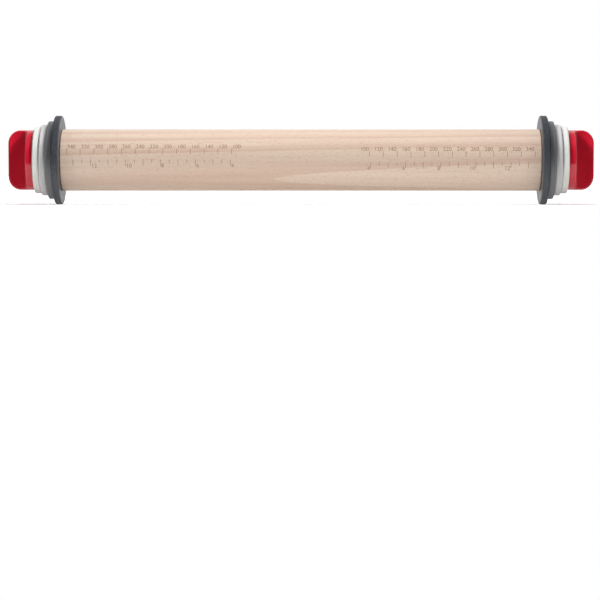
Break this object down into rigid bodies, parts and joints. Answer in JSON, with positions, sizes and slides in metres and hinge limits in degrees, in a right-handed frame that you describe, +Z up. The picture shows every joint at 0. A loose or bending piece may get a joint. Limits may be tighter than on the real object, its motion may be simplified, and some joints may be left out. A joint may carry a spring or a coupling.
{
  "type": "adjustable rolling pin",
  "caption": "Beech rolling pin with stacked thickness rings at both ends, clamped by red screw knobs, so that the rings can be changed to set how thick the dough is rolled.",
  "frame": {"origin": "centre of the pin, on the roller's axis", "axes": "+X along the roller, to the right in the picture; +Z up, with both knobs' paddles upright in the XZ plane; the picture looks along +Y"},
  "size_m": [0.4288, 0.065, 0.065],
  "materials": {
    "beech": "sanded bare wood",
    "charcoal_plastic": "fine spark-eroded texture",
    "mid_grey_plastic": "satin moulded",
    "light_grey_plastic": "satin moulded",
    "white_plastic": "satin moulded",
    "red_plastic": "glossy moulded"
  },
  "bodies": {
    "roller": {"roller": "beech"},
    "left_charcoal_ring": {"left_charcoal_ring": "charcoal_plastic"},
    "left_mid_grey_ring": {"left_mid_grey_ring": "mid_grey_plastic"},
    "left_light_grey_ring": {"left_light_grey_ring": "light_grey_plastic"},
    "left_white_ring": {"left_white_ring": "white_plastic"},
    "left_knob": {"left_knob": "red_plastic"},
    "right_charcoal_ring": {"right_charcoal_ring": "charcoal_plastic"},
    "right_mid_grey_ring": {"right_mid_grey_ring": "mid_grey_plastic"},
    "right_light_grey_ring": {"right_light_grey_ring": "light_grey_plastic"},
    "right_white_ring": {"right_white_ring": "white_plastic"},
    "right_knob": {"right_knob": "red_plastic"}
  },
  "joints": [
    {"name": "left_charcoal_ring_slide", "type": "slide", "parent": "roller", "child": "left_charcoal_ring", "axis": [-1, 0, 0], "range_m": [0, 0.02]},
    {"name": "left_mid_grey_ring_slide", "type": "slide", "parent": "roller", "child": "left_mid_grey_ring", "axis": [-1, 0, 0], "range_m": [0, 0.02]},
    {"name": "left_light_grey_ring_slide", "type": "slide", "parent": "roller", "child": "left_light_grey_ring", "axis": [-1, 0, 0], "range_m": [0, 0.02]},
    {"name": "left_white_ring_slide", "type": "slide", "parent": "roller", "child": "left_white_ring", "axis": [-1, 0, 0], "range_m": [0, 0.02]},
    {"name": "left_knob_turn", "type": "hinge", "parent": "left_white_ring", "child": "left_knob", "pos_m": [-0.195, 0, 0], "axis": [-1, 0, 0], "range_deg": [0, 2880]},
    {"name": "right_charcoal_ring_slide", "type": "slide", "parent": "roller", "child": "right_charcoal_ring", "axis": [1, 0, 0], "range_m": [0, 0.02]},
    {"name": "right_mid_grey_ring_slide", "type": "slide", "parent": "roller", "child": "right_mid_grey_ring", "axis": [1, 0, 0], "range_m": [0, 0.02]},
    {"name": "right_light_grey_ring_slide", "type": "slide", "parent": "roller", "child": "right_light_grey_ring", "axis": [1, 0, 0], "range_m": [0, 0.02]},
    {"name": "right_white_ring_slide", "type": "slide", "parent": "roller", "child": "right_white_ring", "axis": [1, 0, 0], "range_m": [0, 0.02]},
    {"name": "right_knob_turn", "type": "hinge", "parent": "right_white_ring", "child": "right_knob", "pos_m": [0.195, 0, 0], "axis": [1, 0, 0], "range_deg": [0, 2880]}
  ],
  "couplings": [
    {"joint": "left_charcoal_ring_slide", "follows": "left_knob_turn", "m_per_rad": 0.00039789},
    {"joint": "left_mid_grey_ring_slide", "follows": "left_knob_turn", "m_per_rad": 0.00039789},
    {"joint": "left_light_grey_ring_slide", "follows": "left_knob_turn", "m_per_rad": 0.00039789},
    {"joint": "left_white_ring_slide", "follows": "left_knob_turn", "m_per_rad": 0.00039789},
    {"joint": "right_charcoal_ring_slide", "follows": "right_knob_turn", "m_per_rad": 0.00039789},
    {"joint": "right_mid_grey_ring_slide", "follows": "right_knob_turn", "m_per_rad": 0.00039789},
    {"joint": "right_light_grey_ring_slide", "follows": "right_knob_turn", "m_per_rad": 0.00039789},
    {"joint": "right_white_ring_slide", "follows": "right_knob_turn", "m_per_rad": 0.00039789}
  ]
}
